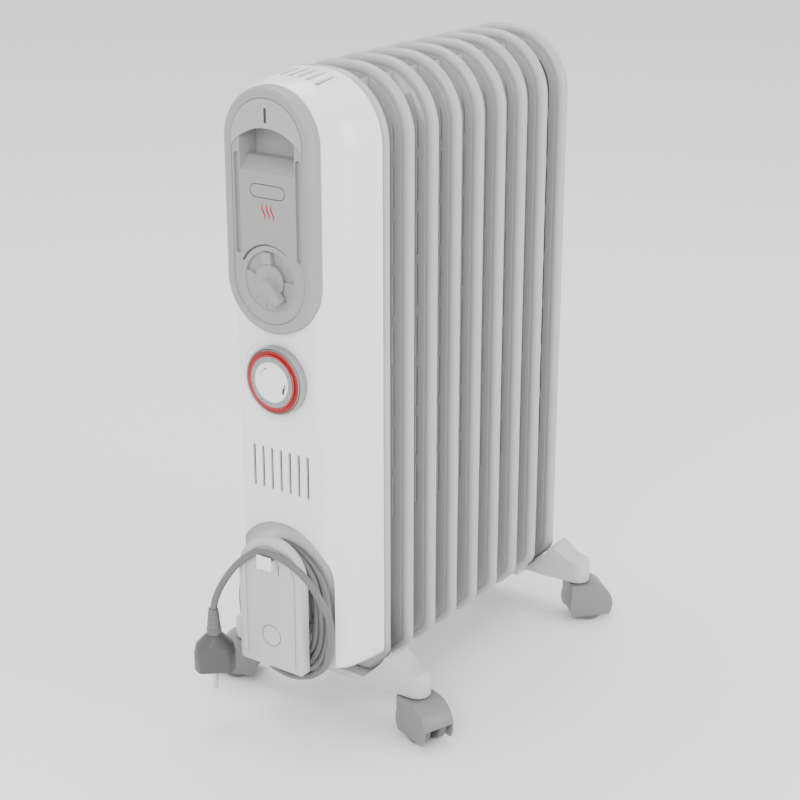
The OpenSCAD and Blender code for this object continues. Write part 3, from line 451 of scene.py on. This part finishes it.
slot_of = {row["node"]: row["material_slot"] for row in frame["record"]["subparts"]}
body_of = {n: b for b, ns in frame["record"]["behaviour"]["bodies"].items() for n in ns}
for node, piece in nodes.items():
    piece.data.materials.clear()
    piece.data.materials.append(finishes[slot_of[node]])
mains_cord.data.materials.append(finishes["cord_grey"])


def stand_for(piece, *names):
    """A new piece takes the place, body and finish of the CAD node it stands for."""
    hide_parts(*names)
    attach(piece, body_of[names[0]])
    return dress(piece, slot_of[names[0]])


# %% [markdown]
# ## Rounding what a mould rounds
# Real edges catch a thin line of light. The CAD edges are perfectly sharp, so copies of these
# pieces are merged, their sharp edges get a small Bevel, and their curves are shaded smooth. The
# fins keep their shape and only lose their facets.

# %% Softened copies
for i in range(1, 10):
    stand_for(merged(f"fin_{i}", f"pressed_fin_{i}", smooth_crease=40), f"fin_{i}")
soft = {"cord_plate": 0.0012, "fascia": 0.0005, "handle_cap": 0.0012, "thermostat_ring": 0.0006,
        "selector_knob": 0.001,
        "timer_housing": 0.0009, "cord_spool": 0.0004, "cord_clip": 0.0012,
        "cord_gland": 0.0004, "front_foot": 0.0014, "rear_foot": 0.0014, "plug_body": 0.0014,
        "strain_relief": 0.0003, "timer_face": 0.0005}
for corner in ("front_right", "front_left", "rear_right", "rear_left"):
    soft[corner + "_hood"] = 0.0010
    soft[corner + "_wheels"] = 0.0010
for node, width in soft.items():
    stand_for(merged(node, node + "_rounded", width), node)
print("softened pieces:", len(soft) + 9)

# %% [markdown]
# ## The front cover
# The cover is one white moulding. Its outline is flat-fronted and narrow at the front and grows to
# the fins' outline at the back, with soft folds between. It could be a box with bevels, but the
# folds follow the outline, so it is a loft: one outline whose sizes change with depth. Its inside
# is given a dark finish that is painted shade, so that the slots look as deep as they are.

# %% Outline and depth profile


def cover_ring(y, half, corner, top, low, r_low=12.0):
    """Outline of the cover at one depth: two large upper corners, two small lower ones, and
    straight lines between, as points in millimetres."""
    up, down = np.linspace(0, math.pi / 2, 28), np.linspace(0, math.pi / 2, 10)
    right = np.stack([half - corner + corner * np.cos(up), top - corner + corner * np.sin(up)], 1)
    foot = np.stack([half - r_low + r_low * np.sin(down), low + r_low - r_low * np.cos(down)], 1)
    side = np.linspace(foot[-1], right[0], 12)[1:-1]
    half_line = np.vstack([foot, side, right])
    mirror = half_line[::-1] * [-1, 1]
    ring = np.vstack([half_line, mirror])
    return np.insert(ring, 1, y, axis=1)


def folded(keys, reach, parts=7):
    """Sizes against depth: straight from key to key, and round each inner key a quadratic curve
    that starts and ends a given share of the way along its neighbours."""
    k = np.asarray(keys, float)
    rows = [k[:1]]
    t = np.linspace(0, 1, parts)[:, None]
    for a, b, c, share in zip(k[:-2], k[1:-1], k[2:], reach):
        s, e = b + (a - b) * share[0], b + (c - b) * share[1]
        rows.append((1 - t) ** 2 * s + 2 * t * (1 - t) * b + t**2 * e)
    return np.vstack(rows + [k[-1:]])


def cover_solid(name, inset):
    """The cover's form, inset millimetres inside its surface, closed at both ends."""
    d = inset
    keys = [[-73 + d, 38 - d, 36 - d, 646 - d, 95 + d],
            [-73 + d, 48 - d * 0.7, 46 - d * 0.7, 656 - d, 85 + d],
            [-50, 66.5 - d, 60 - d, 661 - d, 80 + d],
            [-9 + (6 if d else 0), 75 - d, 66 - d, 664 - d, 80 + d]]
    rows = folded(keys, [(0.8, 0.22), (0.32, 0.24)])
    rings = np.stack([cover_ring(*row) for row in rows])
    n = rings.shape[1]
    faces = quads(len(rings), n, wrap_cols=True)
    faces += [list(range(n))[::-1], [(len(rings) - 1) * n + i for i in range(n)]]
    return put(name, metres(rings.reshape(-1, 3)), faces)


cover = cover_solid("front_cover_shell", 0.0)
hollow_inside = cover_solid("cover_inside", 2.5)
print("cover points:", len(cover.data.vertices))

# %% [markdown]
# ### The hollow for the cord
# Behind the wound cord the cover is scooped out, with a quarter-round edge like the rim of a
# bowl. The scoop is a profile carried round an oblong that is open below: the radius shrinks from
# the face to the back wall along a quarter circle.

# %% Scoop


def scoop(name, wall):
    """A closed block in the shape of the hollow, thicker by wall all round and behind."""
    a = np.linspace(0, math.pi / 2, 10)
    r = np.concatenate([[59 + wall + 1], 44 + (15 + wall) * np.cos(a)])
    y = np.concatenate([[-92.0], -73 + (15 + wall) * np.sin(a)])
    r[-1] = 44.0
    turn = np.linspace(0, math.pi, 49)
    arch = np.stack([np.outer(r, np.cos(turn)), np.repeat(y[:, None], 49, 1),
                     172 + np.outer(r, np.sin(turn))], -1)
    low = np.stack([np.outer(r, [-1]), y[:, None], np.full((len(r), 1), 40.0)], -1)
    low2 = np.stack([np.outer(r, [1]), y[:, None], np.full((len(r), 1), 40.0)], -1)
    rings = np.concatenate([low2, arch, low], axis=1)
    n = rings.shape[1]
    faces = quads(len(rings), n, wrap_cols=True)
    faces += [list(range(n))[::-1], [(len(rings) - 1) * n + i for i in range(n)]]
    return put(name, metres(rings.reshape(-1, 3)), faces)


cut(hollow_inside, scoop("hollow_wall", 2.5))
cut(hollow_inside, prism("panel_seat_wall", oblong(53.8, 477, 605), -79, -67.5))
# The inside faces get the dark inner_black finish: painted shade standing for the shade inside the white
# cover.
hollow_inside.data.materials.append(None)
hollow_inside.data.materials.append(finishes["inner_black"])
hollow_inside.data.polygons.foreach_set("material_index", [1] * len(hollow_inside.data.polygons))
cover.data.materials.append(None)
cover.data.materials.append(finishes["inner_black"])
cut(cover, hollow_inside)
cut(cover, scoop("hollow_space", 0.0))
print("cover faces after the hollow:", len(cover.data.polygons))

# %% Openings of the cover
cut(cover, prism("panel_seat", oblong(52.0, 477, 605), -80, -70))
cut(cover, prism("panel_window", oblong(34.8, 470, 606), -80, -40))
cut(cover, prism("timer_seat", oblong(42.0, 379, 379, 40), -80, -72.4))
cut(cover, prism("timer_hole", oblong(29.6, 379, 379, 40), -80, -40))
for i in range(7):
    slit = oblong(1.5, 263.75 + 1.5, 307.25 - 1.5, 8) + [(i - 3) * 10.8, 0]
    cut(cover, prism("grille_slot", slit, -80, -60))
for i in range(7):
    vent = oblong(2.0, -47, -22, 8) + [(i - 3) * 10.0, 0]
    ring = [np.insert(vent, 2, z, axis=1) for z in (634, 690)]
    n = len(vent)
    side = [[k, n + k, n + (k + 1) % n, (k + 1) % n] for k in range(n)]
    cut(cover, put("vent_slot", metres(np.vstack(ring)),
                   side + [list(range(n)), list(range(n, 2 * n))[::-1]]))
# The dark inside faces are painted shade. Their finish indices are kept while the cover takes its own
# finish.
inside = [p.material_index for p in cover.data.polygons]
stand_for(cover, "front_cover")
cover.data.materials.append(finishes["inner_black"])
cover.data.polygons.foreach_set("material_index", inside)
finish_shading(cover.data, 28)
print("faces of the painted shade inside:", sum(inside))
print("cover faces:", len(cover.data.polygons))

# %% [markdown]
# ## The panel's bezel
# The bezel is a long ring with one rounded section all the way round. It could be cut from a
# block, but the section carried along the oblong is simpler and gives even highlights.

# %% Bezel


def carried(name, section, z0, z1, n=49):
    """A closed section, given as radius and depth, carried round an upright oblong: the half
    circles at the ends turn it and the straight sides join them."""
    turn = np.linspace(0, math.pi, n)
    ends = [(turn, z1), (turn + math.pi, z0)]
    r, y = np.asarray(section, float).T
    rings = [np.stack([np.outer(np.cos(t), r), np.repeat(y[None], n, 0),
                       z + np.outer(np.sin(t), r)], -1) for t, z in ends]
    grid = np.concatenate(rings)
    return put(name, metres(grid.reshape(-1, 3)), quads(len(grid), len(r), True, True), 40)


def rounded_section(r0, r1, y0, y1, inner, outer, steps=8):
    """A rectangle in radius and depth whose two front corners are quarter circles."""
    a = np.linspace(0, math.pi / 2, steps)
    front_out = np.stack([r1 - outer + outer * np.cos(a), y1 + outer - outer * np.sin(a)], 1)
    front_in = np.stack([r0 + inner - inner * np.sin(a), y1 + inner - inner * np.cos(a)], 1)
    return np.vstack([[r0, y0], [r1, y0], front_out, front_in])


bezel = carried("panel_bezel", rounded_section(41, 51.5, -70, -84, 1.2, 6.0), 477, 605)
stand_for(bezel, "control_bezel")
print("bezel faces:", len(bezel.data.polygons))

# %% [markdown]
# ## The timer's dial
# The dial turns once a day. A grey number ring carries the 24 hours, a red ring runs round it,
# and 96 small red tappets stand outside, one for each quarter of an hour. All of it is one
# turning body, so each piece rides on it. Round pieces are turned: a profile carried round Y.

# %% Turned pieces of the dial
DIAL_Z = 379.0


def turned(name, profile, z, n=144):
    """A closed profile, given as radius and depth, turned once round a line along Y."""
    r, y = np.asarray(profile, float).T
    t = np.linspace(0, 2 * math.pi, n, endpoint=False)
    grid = np.stack([np.outer(np.cos(t), r), np.repeat(y[None], n, 0), z + np.outer(np.sin(t), r)], -1)
    return put(name, metres(grid.reshape(-1, 3)), quads(n, len(r), True, True), 40)


stem = turned("dial_body", [[1.6, -83.6], [19.9, -83.6], [19.9, -81.5], [20.1, -81.5], [20.1, -83.8],
                            [20.4, -84.0], [24.9, -84.0], [24.9, -82.0], [30.6, -82.0],
                            [30.8, -81.6], [30.8, -78.2], [3.9, -78.2], [3.9, -60.2], [1.6, -60.2]],
              DIAL_Z)
stand_for(stem, "timer_dial")
dress(stem, "panel_grey")
hoop = turned("red_hoop", [[24.9, -82.0], [24.9, -84.3], [25.2, -84.6], [26.8, -84.6], [27.0, -84.3],
                           [27.0, -82.0]], DIAL_Z)
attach(hoop, "timer_disc")
dress(hoop, "dial_red")
print("dial pieces: dial_body, red_hoop")

# %% [markdown]
# The 24 hour numbers are generic digits, flat on the ring and upright towards the centre. Text
# is made a mesh before it is placed, so that each number keeps its place in its own vertices.

# %% Numbers
ink = Finish("print_ink")
ink.feed("Base Color", ink.blend(ink.noise(300), tone(22), tone(34)))
ink.feed("Roughness", ink.noise(500) * 0.1 + 0.45)
finishes["print_ink"] = ink.material


def numerals(name, words, radius, angles, centre_z, y, size, body, twist=0.0):
    """Words as flat meshes on a circle: each is centred, turned to its angle and set at depth y."""
    points, faces, first = [], [], 0
    for word, where in zip(words, angles):
        data = bpy.data.curves.new(name, "FONT")
        data.body, data.size, data.align_x, data.align_y = word, size, "CENTER", "CENTER"
        data.resolution_u = 2
        thing = bpy.data.objects.new(name, data)
        bpy.context.collection.objects.link(thing)
        view = bpy.context.evaluated_depsgraph_get()
        mesh = bpy.data.meshes.new_from_object(thing.evaluated_get(view))
        co = np.zeros(len(mesh.vertices) * 3)
        mesh.vertices.foreach_get("co", co)
        co = co.reshape(-1, 3)
        a = math.radians(where)
        t = a - math.pi / 2 if twist is None else math.radians(twist)
        x = co[:, 0] * math.cos(t) - co[:, 1] * math.sin(t) + radius * math.cos(a)
        z = co[:, 0] * math.sin(t) + co[:, 1] * math.cos(t) + radius * math.sin(a) + centre_z
        points.append(np.stack([x, np.full(len(x), float(y)), z], 1))
        faces += [[v + first for v in p.vertices] for p in mesh.polygons]
        first += len(co)
        bpy.data.objects.remove(thing)
    piece = put(name, metres(np.vstack(points)), faces)
    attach(piece, body)
    piece.data.materials.append(finishes["print_ink"])
    return piece


hours = numerals("hour_numbers", [str(24 - i) for i in range(24)], 22.5,
                 [i * 15 - 3 for i in range(24)], DIAL_Z, -84.06, 2.6, "timer_disc", None)
print("hour numbers:", len(hours.data.polygons), "faces")


def flat_bar(x0, x1, z0, z1):
    """Corners of an upright rectangle in X and Z."""
    return np.array([[x0, z0], [x1, z0], [x1, z1], [x0, z1]], float)


def printed(name, outlines, y, body, finish="print_ink", thick=0.06):
    """Thin printed marks: each outline carried from the surface a hair outwards."""
    points, faces, first = [], [], 0
    for outline in outlines:
        o = np.asarray(outline, float)
        n = len(o)
        points.append(np.vstack([np.insert(o, 1, y - thick, axis=1), np.insert(o, 1, y + 0.02, axis=1)]))
        faces += quads(2, n, wrap_cols=True, first=first)
        faces += [[first + k for k in range(n)][::-1], [first + n + k for k in range(n)]]
        first += 2 * n
    piece = put(name, metres(np.vstack(points)), faces, 80)
    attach(piece, body)
    piece.data.materials.append(finishes[finish])
    return piece


def turned_outline(outline, degrees, centre=(0.0, 0.0)):
    """An outline turned about a centre in the X and Z plane."""
    a = math.radians(degrees)
    o = np.asarray(outline, float)
    return np.stack([o[:, 0] * math.cos(a) - o[:, 1] * math.sin(a) + centre[0],
                     o[:, 0] * math.sin(a) + o[:, 1] * math.cos(a) + centre[1]], 1)


def at_angle(r, degrees, centre_z):
    """The point of a circle at an angle, for a circle whose centre is at X 0."""
    a = math.radians(degrees)
    return r * math.cos(a), centre_z + r * math.sin(a)


def arc_band(r0, r1, start, end, n=24, taper=1.0):
    """A band between two radii from one angle to another, its width shrinking towards the end."""
    a = np.radians(np.linspace(start, end, n))
    mid, half = (r0 + r1) / 2, (r1 - r0) / 2 * np.linspace(1, taper, n)
    outer = np.stack([(mid + half) * np.cos(a), (mid + half) * np.sin(a)], 1)
    inner = np.stack([(mid - half) * np.cos(a), (mid - half) * np.sin(a)], 1)
    return np.vstack([outer, inner[::-1]])


ticks = [turned_outline(flat_bar(24.0, 24.8, -0.08, 0.08), i * 15 + 4.5, (0, DIAL_Z)) for i in range(24)]
printed("hour_ticks", ticks, -84.0, "timer_disc")
arrow = [arc_band(14.0, 14.5, 160, 118) + [0, DIAL_Z],
         turned_outline([[-1.2, -1.0], [1.4, 0], [-1.2, 1.0]], 28, at_angle(14.25, 116, DIAL_Z))]
printed("turn_arrow", arrow, -84.4, "heater")

# %% [markdown]
# ## Marks on the panel
# The dial's scale is printed: a wedge that grows with the heat, a small star at its cold end, and
# the numbers 0 to 3 of the power selector. The badge is only a blank oval line with three
# wavy heat lines below it, so that the panel is not bare.

# %% Panel marks
PANEL_Z, FACE = 477.0, -83.0
wedge = arc_band(32.8, 35.6, 152, 52, 40, 0.16) + [0, PANEL_Z]
star = [turned_outline([[0.9, 0], [0.25, 0.25], [0, 0.9], [-0.25, 0.25], [-0.9, 0], [-0.25, -0.25],
                        [0, -0.9], [0.25, -0.25]], 20, at_angle(34.2, 44, PANEL_Z))]
grey_ink = Finish("panel_ink")
grey_ink.feed("Base Color", grey_ink.blend(grey_ink.noise(300), tone(62), tone(74)))
grey_ink.feed("Roughness", grey_ink.noise(500) * 0.1 + 0.4)
finishes["panel_ink"] = grey_ink.material
printed("heat_wedge", [wedge] + star, FACE, "heater", "panel_ink")
numerals("power_numbers", ["3", "2", "1", "0"], 24.2, [228, 257, -72, -43], PANEL_Z, -82.06, 4.0,
         "heater", 0.0)


def oval_line(half_w, half_h, width, centre, n=40):
    """A ring between two round-ended outlines lying on their side, as two joined halves."""
    a = np.linspace(-math.pi / 2, math.pi / 2, n // 2)
    shapes = []
    for r in (half_h, half_h - width):
        right = np.stack([half_w - half_h + r * np.cos(a), r * np.sin(a)], 1)
        shapes.append(np.vstack([right, -right]) + centre)
    outer, inner = shapes
    m = len(outer)
    return [np.array([outer[k], outer[(k + 1) % m], inner[(k + 1) % m], inner[k]]) for k in range(m)]


printed("blank_badge", oval_line(20.5, 6.6, 0.9, (0.0, 561.0)), FACE, "heater", "panel_ink")
t = np.linspace(0, 1, 16)
waves = []
for i in range(3):
    x = (i - 1) * 5.0 + 1.6 * np.sin(2 * math.pi * t)
    w = 0.95 * np.sin(math.pi * t) + 0.08
    z = 534 + 16 * t
    waves.append(np.vstack([np.stack([x + w, z], 1), np.stack([x - w, z], 1)[::-1]]))
printed("heat_lines", waves, FACE, "heater", "dial_red")
printed("cord_plate_ring", oval_line(11.5, 11.5, 0.7, (0.0, 118.0), 56), -94.0, "heater", "panel_ink")
print("panel marks printed")

# %% [markdown]
# ## Floor and light
# A pale floor and large soft lamps, as in a product studio. The floor and the lamps are not part
# of the object. One lamp stands in front, one at the side and a larger one hangs above. All
# three are big, so their shadows are soft, and a bright world fills what they leave.

# %% Studio
floor = put("studio_floor", [[-30, -30, 0], [30, -30, 0], [30, 30, 0], [-30, 30, 0]], [[0, 1, 2, 3]])
paper = Finish("studio_paper")
paper.feed("Base Color", paper.blend(paper.noise(0.4), tone(244), tone(248)))
paper.feed("Roughness", paper.noise(3.0) * 0.1 + 0.8)
floor.data.materials.append(paper.material)


def lamp(name, spot, aim, size, power):
    """A square lamp at a spot, turned towards a point, in metres."""
    data = bpy.data.lights.new(name, "AREA")
    data.shape, data.size, data.energy = "SQUARE", size, power
    light = bpy.data.objects.new(name, data)
    light.location = spot
    light.rotation_euler = (Vector(aim) - Vector(spot)).to_track_quat("-Z", "Y").to_euler()
    bpy.context.collection.objects.link(light)


lamp("key_lamp", (0.9, -2.8, 2.2), (0, 0, 0.35), 1.5, 62)
lamp("side_lamp", (2.8, 0.5, 1.1), (0, 0.1, 0.35), 1.6, 46)
lamp("top_lamp", (-0.6, 0.3, 3.2), (0, 0, 0.3), 2.0, 60)
world = bpy.data.worlds.new("studio_world")
world.use_nodes = True
world.node_tree.nodes["Background"].inputs[0].default_value = (1, 1, 1, 1)
world.node_tree.nodes["Background"].inputs[1].default_value = 1.3
bpy.context.scene.world = world
